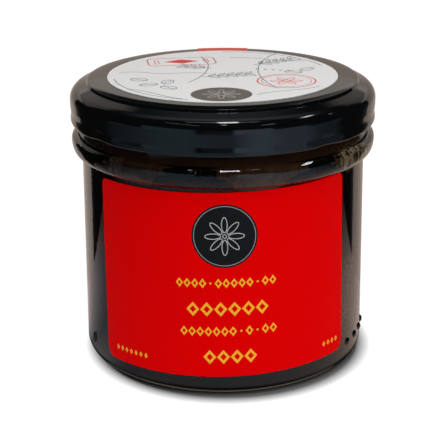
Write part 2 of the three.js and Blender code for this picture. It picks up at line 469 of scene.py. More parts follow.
@dataclass(frozen=True)
class Paper(Finish):
    """Coated label paper, or the ink on it: even and satin, with a faint mottle from its fibres."""

    colour: Colour = Colour.STICKER_WHITE
    roughness: float = 0.5
    ior: float = 1.45
    gloss: float = 0.3
    mottle: float = 0.03
    mottle_size: float = 5.0
    fibre_size: float = 0.5
    fibre_depth: float = 0.004

    def surface(self, tree: bpy.types.NodeTree, place: bpy.types.NodeSocket) -> Inputs:
        """Makes the mottle and the fibres.

        Args:
            tree: The material's node tree.
            place: Gives each point's place on the object, in metres.

        Returns:
            What each socket of the shader gets.
        """
        cloud = add_node(
            tree, "TexNoise", inputs={"Vector": place, "Scale": per_metre(self.mottle_size), "Detail": 5.0}
        )
        shade = add_node(
            tree,
            "MapRange",
            inputs={"Value": cloud.outputs["Fac"], "To Min": 1 - self.mottle, "To Max": 1 + self.mottle},
        )
        colour = add_node(
            tree,
            "VectorMath",
            {"operation": "SCALE"},
            {0: linear(self.colour.value)[:3], "Scale": shade.outputs["Result"]},
        )
        fibre = add_node(
            tree, "TexNoise", inputs={"Vector": place, "Scale": per_metre(self.fibre_size), "Detail": 2.0}
        )
        bump = add_node(
            tree, "Bump", inputs={"Height": fibre.outputs["Fac"], "Distance": self.fibre_depth * MM}
        )
        return {
            "Base Color": colour.outputs["Vector"],
            "Roughness": self.roughness,
            "IOR": self.ior,
            "Specular IOR Level": self.gloss,
            "Normal": bump.outputs["Normal"],
        }


@dataclass(frozen=True)
class Corner:
    """A corner of an outline: its radius, its height and how round it is."""

    radius: float
    height: float
    rounding: float = 0.0


def rounded(corners: Sequence[Corner]) -> list[Vector]:
    """Draws an outline with each corner rounded by its own arc.

    Args:
        corners: The corners in order, the first and last of them sharp.

    Returns:
        Points of radius and height.
    """
    places = [Vector((c.radius, c.height)) for c in corners]
    line = [places[0]]
    for before, here, after, corner in zip(places, places[1:], places[2:], corners[1:]):
        if corner.rounding == 0:
            line.append(here)
            continue
        back, on = (before - here).normalized(), (after - here).normalized()
        half = back.angle(on) / 2
        centre = here + (back + on).normalized() * corner.rounding / math.sin(half)
        first = here + back * corner.rounding / math.tan(half) - centre
        last = here + on * corner.rounding / math.tan(half) - centre
        turn = math.copysign(math.pi - 2 * half, first.cross(last))
        steps = max(2, math.ceil(abs(turn) / ARC_STEP))
        line += [centre + Matrix.Rotation(turn * i / steps, 2) @ first for i in range(steps + 1)]
    return [*line, places[-1]]


def evenly(line: Sequence[Vector], step: float) -> list[Vector]:
    """Adds points to an outline, so that no two are further apart than a step.

    Args:
        line: Points of radius and height.
        step: The greatest distance between two points.

    Returns:
        The outline with more points.
    """
    fine = [line[0]]
    for start, end in zip(line, line[1:]):
        parts = max(1, math.ceil((end - start).length / step))
        fine += [start.lerp(end, (i + 1) / parts) for i in range(parts)]
    return fine


def turned(line: Sequence[Vector], steps: int = TURN_STEPS) -> bmesh.types.BMesh:
    """Turns an outline that starts and ends on the jar's axis into a closed body.

    Args:
        line: Points of radius and height.
        steps: How many facets go round.

    Returns:
        The closed body, its faces pointing out.
    """
    body = bmesh.new()
    points = [body.verts.new((p.x, 0, p.y)) for p in line]
    edges = [body.edges.new(pair) for pair in zip(points, points[1:])]
    bmesh.ops.spin(
        body,
        geom=points + edges,
        cent=(0, 0, 0),
        axis=(0, 0, 1),
        angle=math.tau,
        steps=steps,
        use_merge=True,
        use_duplicate=False,
    )
    bmesh.ops.remove_doubles(body, verts=body.verts, dist=MERGED)
    bmesh.ops.recalc_face_normals(body, faces=body.faces)
    return body


def piece(name: str, body: bmesh.types.BMesh, finish: Finish, sharp: float = 35) -> bpy.types.Object:
    """Makes a finished piece of the object from its mesh in millimetres.

    Args:
        name: The piece's name.
        body: Its mesh, which is freed.
        finish: What it is covered with.
        sharp: Edges that bend by more than this many degrees stay sharp.

    Returns:
        The piece, riding on the object's one body.
    """
    bmesh.ops.scale(body, vec=(MM, MM, MM), verts=body.verts)
    mesh = bpy.data.meshes.new(name)
    body.to_mesh(mesh)
    body.free()
    mesh.polygons.foreach_set("use_smooth", [True] * len(mesh.polygons))
    mesh.set_sharp_from_angle(angle=math.radians(sharp))
    mesh.materials.append(finish.material())
    made = bpy.data.objects.new(name, mesh)
    bpy.context.scene.collection.objects.link(made)
    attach(made, BODY)
    log.info("%s: %d faces", name, len(mesh.polygons))
    return made


@dataclass
class Jar:
    """The glass jar: foot, body, bead, mouth and the marks that its mould leaves."""

    body_low: float = 40.4
    body_high: float = 39.85
    body_top: float = 58.9
    heel_round: float = 3.4
    foot_inner: float = 31.0
    punt_radius: float = 27.0
    punt_height: float = 1.4
    bead_middle: float = 62.4
    bead_top: float = 64.9
    neck_foot: Pair = (40.45, 65.0)
    neck_top: float = 68.3
    neck_radius: float = 39.4
    mouth_radius: float = 36.9
    rim_round: float = 1.2
    inner_radius: float = 37.5
    inner_floor: float = 5.2
    inner_rise: float = 0.5
    inner_round: float = 4.0
    inner_neck_round: float = 8.0
    mark_height: float = 7.0
    mark_rise: float = 0.65
    dot_size: Pair = (2.4, 2.1)
    dot_angles: tuple[float, ...] = (60, 68, 76, 84)
    tick_size: Pair = (1.0, 3.6)
    tick_angle: float = -66
    mark_band: float = 2.2
    mark_step: float = 0.2
    mark_cuts: int = 6

    def __post_init__(self) -> None:
        """Takes the outer size from the CAD node."""
        _, high = node_box("jar")
        self.bead_radius = high.x
        self.rim_top = high.z
        self.marks = [(math.radians(angle), self.dot_size) for angle in self.dot_angles]
        self.marks.append((math.radians(self.tick_angle), self.tick_size))

    def outer_radius(self, height: float) -> float:
        """Gives the radius of the body's outside at a height."""
        share = (height - self.heel_round) / (self.body_top - self.heel_round)
        return self.body_low + (self.body_high - self.body_low) * share

    def inside_radius(self, height: float) -> float:
        """Gives the radius of the inside, with its round corner at the floor.

        Args:
            height: The height over the foot.

        Returns:
            The radius at that height.
        """
        into = self.inner_floor + self.inner_round - height
        if into <= 0:
            return self.inner_radius
        return self.inner_radius - self.inner_round + math.sqrt(max(self.inner_round**2 - into**2, 0))

    def inside_lean(self, height: float) -> float:
        """Gives how much narrower the inside is at a height under the mouth."""
        share = max(height - self.body_top, 0) / (self.rim_top - self.rim_round - self.body_top)
        return (self.inner_radius - self.mouth_radius) * share

    def outline(self) -> list[Vector]:
        """Draws the glass from the middle of its foot, over the mouth and down to its floor.

        Returns:
            Points of radius and height.
        """
        bead = self.bead_radius
        count = round(2 * self.mark_band / self.mark_step)
        band = [self.mark_height - self.mark_band + self.mark_step * i for i in range(count + 1)]
        return rounded(
            [
                Corner(0, self.punt_height),
                Corner(self.punt_radius, self.punt_height * 0.3, 12),
                Corner(self.foot_inner, 0, 1.5),
                Corner(self.body_low, 0, self.heel_round),
                *(Corner(self.outer_radius(height), height) for height in band),
                Corner(self.body_high, self.body_top, 0.6),
                Corner(bead - 1.47, self.body_top + 0.3, 1.2),
                Corner(bead - 0.57, self.body_top + 1.2, 2),
                Corner(bead - 0.17, self.bead_middle - 1.2, 3),
                Corner(bead, self.bead_middle - 0.1, 3),
                Corner(bead, self.bead_top - 1.15, 1.5),
                Corner(bead - 1.32, self.bead_top + 0.08, 1.2),
                Corner(*self.neck_foot, 0.3),
                Corner(self.neck_radius, self.neck_top, 3),
                Corner(self.neck_radius, self.rim_top, self.rim_round),
                Corner(self.mouth_radius, self.rim_top, self.rim_round),
                Corner(self.inner_radius, self.body_top, self.inner_neck_round),
                Corner(self.inner_radius, self.inner_floor, self.inner_round),
                Corner(0, self.inner_floor + self.inner_rise),
            ]
        )

    def in_band(self, point: Vector, margin: float = 0.0) -> bool:
        """Tells whether a point of the outside is as high as the marks, less a margin."""
        off = abs(point.z - self.mark_height)
        return off < self.mark_band - margin + NEAR and point.xy.length > self.inner_radius + 1

    def from_mark(self, point: Vector, angle: float) -> float:
        """Gives how far round the glass a point is from a mark at an angle from the front."""
        turn = math.atan2(point.x, -point.y) - angle
        return ((turn + math.pi) % math.tau - math.pi) * self.body_low

    def raise_marks(self, glass: bmesh.types.BMesh) -> None:
        """Cuts the facets finer where the marks are, and raises the dots and the tick out of them.

        Args:
            glass: The jar's mesh.
        """
        facet = math.tau * self.body_low / TURN_STEPS
        fine = []
        for edge in glass.edges:
            first, last = (v.co for v in edge.verts)
            if abs(first.z - last.z) > NEAR or not self.in_band(first, self.mark_step):
                continue
            middle = (first + last) / 2
            if any(abs(self.from_mark(middle, angle)) < size[0] / 2 + facet for angle, size in self.marks):
                fine.append(edge)
        bmesh.ops.subdivide_edges(glass, edges=fine, cuts=self.mark_cuts, use_grid_fill=True)
        for point in glass.verts:
            if not self.in_band(point.co):
                continue
            radius = self.outer_radius(point.co.z)
            for angle, (width, height) in self.marks:
                across = self.from_mark(point.co, angle) / (width / 2)
                up = (point.co.z - self.mark_height) / (height / 2)
                radius += self.mark_rise * math.sqrt(max(1 - across**2 - up**2, 0))
            point.co.xy *= radius / point.co.xy.length

    def build(self) -> bpy.types.Object:
        """Makes the jar with its marks.

        Returns:
            The jar's piece.
        """
        body = turned(self.outline())
        self.raise_marks(body)
        glass = piece("glass_jar", body, PressedGlass("Clear pressed soda-lime glass"), sharp=60)
        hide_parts("jar")
        return glass


@dataclass
class Lid:
    """The lid, pressed from one sheet: panel, step, shoulder, knuckle, skirt, waist and rolled foot."""

    panel_radius: float = 35.7
    crown: Pair = (37.7, 79.33)
    step: Pair = (38.13, 78.45)
    shoulder: Pair = (40.75, 77.55)
    knuckle: float = 76.25
    knuckle_round: float = 3.6
    wall: float = 0.6
    waist: Pair = (42.55, 70.6)
    curl_round: float = 0.75
    lug_angles: tuple[float, ...] = (-50, 40, 130, 220)
    lug_width: float = 5.0
    lug_depth: float = 0.45
    lug_lift: float = 0.5
    lug_top: float = 1.2
    lug_fade: float = 2.0

    def __post_init__(self) -> None:
        """Takes the outer size from the CAD node."""
        low, high = node_box("lid")
        self.radius = high.x
        self.top = high.z
        self.bottom = low.z

    def outside(self) -> list[Corner]:
        """Lists the corners of the outside.

        Returns:
            The corners, from the middle of the panel to the foot.
        """
        return [
            Corner(0, self.top),
            Corner(self.panel_radius, self.top, 14),
            Corner(*self.crown, 0.2),
            Corner(*self.step, 0.2),
            Corner(*self.shoulder, 3),
            Corner(self.radius, self.knuckle, self.knuckle_round),
            Corner(self.radius - 0.01, self.waist[1] + 1.8, 6),
            Corner(*self.waist, 2.5),
            Corner(self.radius, self.bottom + 2 * self.curl_round - 0.05, 0.8),
            Corner(self.radius, self.bottom, self.curl_round),
        ]

    def inside(self) -> list[Corner]:
        """Lists the corners of the inside.

        Returns:
            The corners, from the rolled foot to the middle.
        """
        inner = self.radius - 2 * self.curl_round
        return [
            Corner(inner, self.bottom, 0.7),
            Corner(inner, self.bottom + 2 * self.curl_round, 0.3),
            Corner(self.waist[0] - self.wall, self.waist[1], 0.6),
            Corner(self.radius - self.wall, self.waist[1] + 2.4, 2),
            Corner(self.radius - self.wall, self.knuckle - 0.4, self.knuckle_round - self.wall),
            Corner(self.shoulder[0] - self.wall / 2, self.shoulder[1] - self.wall, 1.5),
            Corner(self.step[0] - self.wall, self.step[1] - self.wall, 0.3),
            Corner(self.crown[0] - self.wall, self.crown[1] - self.wall, 0.3),
            Corner(0, self.top - self.wall),
        ]

    def press_lugs(self, body: bmesh.types.BMesh) -> None:
        """Presses the foot in where each screw lug is, as the lug tool does.

        Args:
            body: The lid's mesh.
        """
        for point in body.verts:
            low = 1 - min(max((point.co.z - self.bottom - self.lug_top) / self.lug_fade, 0), 1)
            turn = math.degrees(math.atan2(point.co.x, -point.co.y))
            near = min(abs((turn - lug + 180) % 360 - 180) for lug in self.lug_angles)
            press = low * math.exp(-((near / self.lug_width) ** 2))
            reach = math.hypot(point.co.x, point.co.y)
            if reach > 0 and press > NEAR:
                point.co.xy *= 1 - self.lug_depth * press / reach
                point.co.z += self.lug_lift * self.lug_depth * press

    def build(self) -> bpy.types.Object:
        """Makes the lid.

        Returns:
            The lid's piece.
        """
        body = turned(rounded([*self.outside(), *self.inside()]))
        self.press_lugs(body)
        made = piece("twist_off_lid", body, Enamel("Black stoved enamel on tinplate"), sharp=60)
        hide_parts("lid")
        return made


class FlatArt:
    """Flat shapes of one ink, drawn on a plane before they are laid on their paper."""

    def __init__(self) -> None:
        """Starts with an empty drawing."""
        self.body = bmesh.new()

    def _stroke(self, face: bmesh.types.BMFace, width: float | None) -> None:
        """Leaves only a stroke along a face's edge.

        Args:
            face: The filled shape.
            width: The width of the stroke, or none to leave the shape filled.
        """
        if width is None:
            return
        bmesh.ops.inset_region(
            self.body, faces=[face], thickness=width, use_boundary=True, use_even_offset=True
        )
        bmesh.ops.delete(self.body, geom=[face], context="FACES_ONLY")

    def polygon(
        self,
        centre: Pair,
        size: Pair,
        sides: int = 40,
        turn: float = 0,
        stroke: float | None = None,
    ) -> None:
        """Draws an ellipse, or a lozenge for four sides.

        Args:
            centre: Its middle.
            size: Its half width and half height.
            sides: How many sides it has.
            turn: How far it is turned, in degrees.
            stroke: The width of its outline, or none for a filled shape.
        """
        place = (
            Matrix.Translation((*centre, 0))
            @ Matrix.Rotation(math.radians(turn), 4, "Z")
            @ Matrix.Diagonal((*size, 1, 1))
        )
        made = bmesh.ops.create_circle(self.body, cap_ends=True, segments=sides, radius=1, matrix=place)
        self._stroke(made["verts"][0].link_faces[0], stroke)

    def rosette(
        self, centre: Pair, petals: int, reach: float, size: Pair, sides: int, stroke: float
    ) -> None:
        """Draws a ring of petals.

        Args:
            centre: Its middle.
            petals: How many petals it has.
            reach: How far a petal's middle is from the rosette's.
            size: A petal's half length and half width.
            sides: How many sides a petal's outline has.
            stroke: The width of its outline.
        """
        for i in range(petals):
            turn = 360 / petals * i
            along = math.radians(turn)
            petal = (centre[0] + reach * math.cos(along), centre[1] + reach * math.sin(along))
            self.polygon(petal, size, sides, turn, stroke)

    def plate(
        self,
        centre: Pair,
        size: Pair,
        corner: float = 0,
        turn: float = 0,
        stroke: float | None = None,
    ) -> None:
        """Draws a rectangle with round corners.

        Args:
            centre: Its middle.
            size: Its width and height.
            corner: The radius of its corners.
            turn: How far it is turned, in degrees.
            stroke: The width of its outline, or none for a filled shape.
        """
        made = bmesh.ops.create_grid(self.body, x_segments=1, y_segments=1, size=0.5)
        face = made["verts"][0].link_faces[0]
        bmesh.ops.scale(self.body, vec=(*size, 1), verts=face.verts)
        if corner:
            cut = bmesh.ops.bevel(
                self.body,
                geom=list(face.verts),
                offset=corner,
                offset_type="OFFSET",
                affect="VERTICES",
                segments=5,
                profile=0.5,
                material=-1,
            )
            face = cut["verts"][0].link_faces[0]
        place = Matrix.Translation((*centre, 0)) @ Matrix.Rotation(math.radians(turn), 4, "Z")
        bmesh.ops.transform(self.body, matrix=place, verts=face.verts)
        self._stroke(face, stroke)

    def arc(self, centre: Pair, radius: float, start: float, sweep: float, width: float) -> None:
        """Draws a bent line.

        Args:
            centre: The middle of its circle.
            radius: The radius of its middle line.
            start: Where it starts, in degrees from +X.
            sweep: How far it goes round, in degrees.
            width: The width of the line.
        """
        out = Vector((math.cos(math.radians(start)), math.sin(math.radians(start)), 0))
        middle = Vector((*centre, 0))
        ends = [self.body.verts.new(middle + out * (radius + side * width / 2)) for side in (-1, 1)]
        edge = self.body.edges.new(ends)
        bmesh.ops.spin(
            self.body,
            geom=[*ends, edge],
            cent=middle,
            axis=(0, 0, 1),
            angle=math.radians(sweep),
            steps=max(2, math.ceil(abs(sweep) / 9)),
            use_duplicate=False,
        )

    def wave(self, start: Pair, end: Pair, swing: float, turns: float, width: float) -> None:
        """Draws a line that swings from side to side.

        Args:
            start: Its first point.
            end: Its last point.
            swing: How far it swings to each side.
            turns: How many full swings it makes.
            width: The width of the line.
        """
        run = Vector(end) - Vector(start)
        made = bmesh.ops.create_grid(self.body, x_segments=40, y_segments=1, size=0.5)
        turn = Matrix.Rotation(math.atan2(run.y, run.x), 4, "Z")
        for point in made["verts"]:
            along = point.co.x + 0.5
            side = point.co.y * width + swing * math.sin(along * turns * math.tau)
            point.co = Vector((*start, 0)) + turn @ Vector((along * run.length, side, 0))

    def laid(
        self, thickness: float, place: Callable[[Vector], Vector], columns: Sequence[float] = ()
    ) -> bmesh.types.BMesh:
        """Gives the shapes a thickness and lays them on their paper.

        The faces are turned outwards while the drawing is still flat, because a thin bent sheet misleads
        the operator that turns them.

        Args:
            thickness: How thick the ink is.
            place: Turns a point of the flat drawing, with its height over it, into its real place.
            columns: Where the drawing is cut across, so that it can bend.

        Returns:
            The closed thin bodies of all shapes.
        """
        for column in columns:
            everything = [*self.body.verts, *self.body.edges, *self.body.faces]
            bmesh.ops.bisect_plane(self.body, geom=everything, plane_co=(column, 0, 0), plane_no=(1, 0, 0))
        raised = bmesh.ops.extrude_face_region(self.body, geom=list(self.body.faces))
        tops = [item for item in raised["geom"] if isinstance(item, bmesh.types.BMVert)]
        bmesh.ops.translate(self.body, vec=(0, 0, thickness), verts=tops)
        bmesh.ops.recalc_face_normals(self.body, faces=self.body.faces)
        for point in self.body.verts:
            point.co = place(point.co)
        self.body.normal_update()
        return self.body


@dataclass
class Label:
    """The red paper label bent round the front of the glass, put on a little askew, and its print."""

    jar: Jar
    width: float = 75.1
    height: float = 51.8
    middle: float = 32.1
    askew: float = 1.08
    corner_top: float = 1.8
    corner_bottom: float = 3.0
    gap: float = 0.04
    thickness: float = 0.22
    gloss: float = 0.01
    ink: float = 0.02
    ink_gap: float = 0.005
    ink_gloss: float = 0.08
    column: float = 1.3

    def place(self, lift: float) -> Callable[[Vector], Vector]:
        """Gives the rule that bends the flat label round the glass.

        Args:
            lift: How far the drawing's plane lies off the glass.

        Returns:
            A function from a flat point to its real place.
        """
        tilt = math.radians(self.askew)

        def bent(flat: Vector) -> Vector:
            """Lays a point of the flat label on the glass.

            Args:
                flat: The point, with its height over the paper's plane.

            Returns:
                Its real place.
            """
            along = flat.x * math.cos(tilt) - flat.y * math.sin(tilt)
            height = self.middle + flat.x * math.sin(tilt) + flat.y * math.cos(tilt)
            radius = self.jar.outer_radius(height) + lift + flat.z
            angle = along / self.jar.body_low
            return Vector((radius * math.sin(angle), -radius * math.cos(angle), height))

        return bent

    def columns(self) -> list[float]:
        """Lists where the flat label is cut, so that it can bend."""
        count = math.ceil(self.width / self.column)
        return [self.width * (i / count - 0.5) for i in range(1, count)]

    def paper(self) -> bmesh.types.BMesh:
        """Cuts the label, its lower corners rounder than its upper ones.

        Returns:
            The paper's closed thin body, bent round the glass.
        """
        art = FlatArt()
        made = bmesh.ops.create_grid(art.body, x_segments=1, y_segments=1, size=0.5)
        bmesh.ops.scale(art.body, vec=(self.width, self.height, 1), verts=made["verts"])
        upper = [v for v in art.body.verts if v.co.y > 0]
        lower = [v for v in art.body.verts if v.co.y < 0]
        for corners, radius in ((upper, self.corner_top), (lower, self.corner_bottom)):
            bmesh.ops.bevel(
                art.body,
                geom=corners,
                offset=radius,
                offset_type="OFFSET",
                affect="VERTICES",
                segments=6,
                profile=0.5,
                material=-1,
            )
        return art.laid(self.thickness, self.place(self.gap), self.columns())

    def frieze(self, art: FlatArt, centre: Pair, size: Pair, groups: Sequence[int], stroke: float) -> None:
        """Draws a row of open lozenges in groups, with a small dot between two groups.

        Args:
            art: The drawing that takes the row.
            centre: The row's middle on the flat label.
            size: The row's width and height.
            groups: How many lozenges each group has.
            stroke: The width of the lozenges' outline.
        """
        places = sum(groups) + len(groups) - 1
        pitch = size[0] / places
        left = centre[0] - size[0] / 2 + pitch / 2
        index = 0
        for number, count in enumerate(groups):
            for _ in range(count):
                art.polygon((left + index * pitch, centre[1]), (pitch * 0.47, size[1] / 2), 4, 0, stroke)
                index += 1
            if number + 1 < len(groups):
                art.polygon((left + index * pitch, centre[1]), (stroke * 0.7, stroke * 0.7), 16)
                index += 1

    def yellow_print(self) -> FlatArt:
        """Draws the four rows of ornament and the small dots in the lower corners.

        Returns:
            The flat drawing.
        """
        art = FlatArt()
        self.frieze(art, (0.7, 1.05), (27.1, 2.7), (4, 5, 2), 0.42)
        self.frieze(art, (0.9, -6.3), (22.2, 4.1), (6,), 0.66)
        self.frieze(art, (1.1, -12.7), (26.3, 2.8), (7, 1, 2), 0.42)
        self.frieze(art, (1.3, -20.1), (14.6, 4.1), (4,), 0.66)
        for side, count in ((-27.8, 7), (32.2, 4)):
            for i in range(count):
                art.polygon((side + 1.7 * (i - (count - 1) / 2), -22.0), (0.55, 0.8), 4, 0, 0.3)
        return art

    def roundel(self) -> dict[Colour, FlatArt]:
        """Draws the dark roundel, its silver ring and a white rosette.

        Returns:
            One flat drawing for each ink.
        """
        centre = (0.58, 14.1)
        art = {ink: FlatArt() for ink in (Colour.INK_CHARCOAL, Colour.INK_SILVER, Colour.INK_WHITE)}
        art[Colour.INK_CHARCOAL].polygon(centre, (8.7, 8.7), 72)
        art[Colour.INK_SILVER].polygon(centre, (8.25, 8.25), 72, 0, 0.2)
        art[Colour.INK_WHITE].rosette(centre, 8, 3.1, (2.2, 0.85), 20, 0.2)
        art[Colour.INK_WHITE].polygon(centre, (0.6, 0.6), 20, 0, 0.2)
        return art

    def build(self) -> list[bpy.types.Object]:
        """Makes the label and its print.

        Returns:
            The paper's piece and one piece for each ink.
        """
        red = Paper("Red printed coated paper", Colour.LABEL_RED, gloss=self.gloss)
        paper = piece("paper_label", self.paper(), red)
        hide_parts("label")
        made = [paper]
        layers = {Colour.INK_YELLOW: self.yellow_print()} | self.roundel()
        for ink, art in layers.items():
            inks_below = 1 if ink in (Colour.INK_SILVER, Colour.INK_WHITE) else 0
            lift = self.gap + self.thickness + self.ink_gap + self.ink * inks_below
            body = art.laid(self.ink, self.place(lift), self.columns())
            finish = Paper(f"{ink.name.title()} on label paper", ink, gloss=self.ink_gloss)
            made.append(piece("label_" + ink.name.lower(), body, finish))
        return made


@dataclass
class LidSticker:
    """The round white paper on the lid's panel, with fine grey and red line ornament."""

    lid: Lid
    radius: float = 32.2
    thickness: float = 0.15
    gap: float = 0.01
    ink: float = 0.012
    ink_gap: float = 0.003
    line: float = 0.26
    leaf_angle: float = 42.0
    leaf_reach: float = 2.0

    def bean(self, art: FlatArt, centre: Pair, turn: float, size: float = 2.6) -> None:
        """Draws a coffee bean: an oval and the swinging line along its middle.

        Args:
            art: The drawing that takes the bean.
            centre: Its middle.
            turn: How far it is turned, in degrees.
            size: Half its length.
        """
        art.polygon(centre, (size, size * 0.66), 28, turn, self.line)
        along = Vector((math.cos(math.radians(turn)), math.sin(math.radians(turn)))) * size * 0.95
        middle = Vector(centre)
        art.wave(tuple(middle - along), tuple(middle + along), size * 0.16, 1, self.line)

    def sprig(self, art: FlatArt, foot: Pair, turn: float, leaves: int = 5, step: float = 2.6) -> None:
        """Draws a stem with pairs of narrow leaves.

        Args:
            art: The drawing that takes the sprig.
            foot: Where its stem starts.
            turn: Its direction, in degrees from +X.
            leaves: How many pairs of leaves it has.
            step: The distance from one pair to the next.
        """
        along = Vector((math.cos(math.radians(turn)), math.sin(math.radians(turn))))
        start = Vector(foot)
        art.wave(foot, tuple(start + along * step * (leaves + 1)), 0.3, 0.5, self.line)
        for i in range(leaves):
            for side in (-1, 1):
                lean = turn + side * self.leaf_angle
                out = Vector((math.cos(math.radians(lean)), math.sin(math.radians(lean))))
                middle = start + along * step * (i + 0.8) + out * self.leaf_reach
                art.polygon(tuple(middle), (1.9, 0.62), 16, lean, self.line)

    def grey_print(self) -> FlatArt:
        """Draws the beans, sprigs, waves and dots in grey.

        Returns:
            The flat drawing.
        """
        art = FlatArt()
        beans = (
            (-20, -12, 20),
            (-14.5, -15.5, -35),
            (-15, -9, 75),
            (-23, -6, -20),
            (24, 6, 50),
            (20, 2.5, -15),
        )
        for x, y, turn in beans:
            self.bean(art, (x, y), turn)
        self.sprig(art, (-6, -3), 14)
        self.sprig(art, (9, 12), 35, 5)
        self.sprig(art, (-3, 8), 160, 3)
        art.wave((-29, 3), (-4, 1), 0.9, 1.5, self.line)
        art.wave((2, 22), (24, 17), 0.8, 1, self.line)
        art.wave((9, -24), (26, -15), 0.6, 1, self.line)
        art.wave((-25, -17), (-9, -29), 0.5, 1, self.line)
        art.arc((0, 0), 30.4, 20, 70, self.line)
        art.arc((0, 0), 30.4, 190, 60, self.line)
        art.arc((-44, 10), 40, -30, 50, self.line)
        art.arc((60, 4), 50, 150, 55, self.line)
        for i in range(5):
            art.polygon((10 + 2.2 * i, 6.5 - 0.6 * i), (0.5, 0.5), 12, 0, self.line)
        return art

    def red_print(self) -> FlatArt:
        """Draws the double ring with a flower, and the frame with a lozenge.

        Returns:
            The flat drawing.
        """
        art = FlatArt()
        ring = (17.5, -8.5)
        art.polygon(ring, (8.2, 8.2), 60, 0, 0.42)
        art.polygon(ring, (6.9, 6.9), 60, 0, 0.2)
        art.rosette(ring, 6, 2.6, (2.0, 0.9), 16, 0.3)
        art.plate((-12, 17), (20, 10), 2, 8, 0.34)
        art.polygon((-12, 17), (5.2, 2.6), 4, 8)
        for side in (-1, 1):
            art.plate((-12 + side * 7.2, 17 + side), (1.4, 5.2), 0.5, 8, 0.26)
        return art

    def roundel(self) -> dict[Colour, FlatArt]:
        """Draws the warm grey roundel near the front and its rosette.

        Returns:
            One flat drawing for each ink.
        """
        centre = (-0.3, -23.4)
        art = {ink: FlatArt() for ink in (Colour.INK_STONE, Colour.INK_WHITE)}
        art[Colour.INK_STONE].polygon(centre, (8.1, 7.6), 60)
        art[Colour.INK_WHITE].rosette(centre, 8, 3.0, (2.1, 0.8), 18, 0.26)
        return art

    def build(self) -> list[bpy.types.Object]:
        """Makes the sticker and its print.

        Returns:
            The paper's piece and one piece for each ink.
        """
        low = self.lid.top + self.gap
        high = low + self.thickness
        edge = [Corner(0, low), Corner(self.radius, low), Corner(self.radius, high, 0.05), Corner(0, high)]
        white = Paper("White coated paper", Colour.STICKER_WHITE)
        paper = piece("round_sticker", turned(rounded(edge)), white, sharp=50)
        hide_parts("lid_sticker")
        made = [paper]
        layers = {Colour.INK_GREY: self.grey_print(), Colour.INK_RED: self.red_print()} | self.roundel()
        for ink, art in layers.items():
            lift = high + self.ink_gap + (self.ink if ink is Colour.INK_WHITE else 0)
            body = art.laid(self.ink, lambda flat, lift=lift: flat + Vector((0, 0, lift)))
            finish = Paper(f"{ink.name.title()} on sticker", ink)
            made.append(piece("sticker_" + ink.name.lower(), body, finish))
        return made


@dataclass
class SealStrip:
    """The red paper seal, from the sticker over the lid's back edge and down to the bead."""

    lid: Lid
    width: float = 15.3
    start_radius: float = 32.5
    end_height: float = 62.6
    gap: float = 0.03
    thickness: float = 0.13
    step: float = 0.5

    def line(self) -> list[Vector]:
        """Draws the line that the strip follows.

        Returns:
            Points of radius and height.
        """
        lowest = self.lid.waist[1] + 1
        over = [p for p in rounded(self.lid.outside()) if p.x > self.start_radius and p.y > lowest]
        start = Vector((self.start_radius, self.lid.top))
        return evenly([start, *over, Vector((self.lid.radius, self.end_height))], self.step)

    def build(self) -> bpy.types.Object:
        """Makes the strip.

        Returns:
            The strip's piece.
        """
        line = self.line()
        outward = []
        for before, after in zip([line[0], *line], [*line[1:], line[-1]]):
            along = (after - before).normalized()
            outward.append(Vector((-along.y, along.x)))
        rows = len(line) - 1
        art = FlatArt()
        grid = bmesh.ops.create_grid(art.body, x_segments=16, y_segments=rows, size=0.5)
        bmesh.ops.scale(art.body, vec=(self.width, rows, 1), verts=grid["verts"])

        def over_edge(flat: Vector) -> Vector:
            """Lays a point of the flat strip on the lid.

            Args:
                flat: The point, with its height over the paper's plane.

            Returns:
                Its real place.
            """
            bend = round(flat.y + rows / 2)
            spot = line[bend] + outward[bend] * (self.gap + flat.z)
            return Vector((flat.x, math.sqrt(spot.x**2 - flat.x**2), spot.y))

        body = art.laid(self.thickness, over_edge)
        made = piece("seal_strip_paper", body, Paper("Red printed seal paper", Colour.SEAL_RED), sharp=60)
        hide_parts("seal_strip")
        return made


def sway(index: int, kind: int) -> float:
    """Gives a repeatable number from -1 to 1 for one baba, the same as in the solids."""
    return math.sin(12.9 * index + 4.1 * kind + 1)


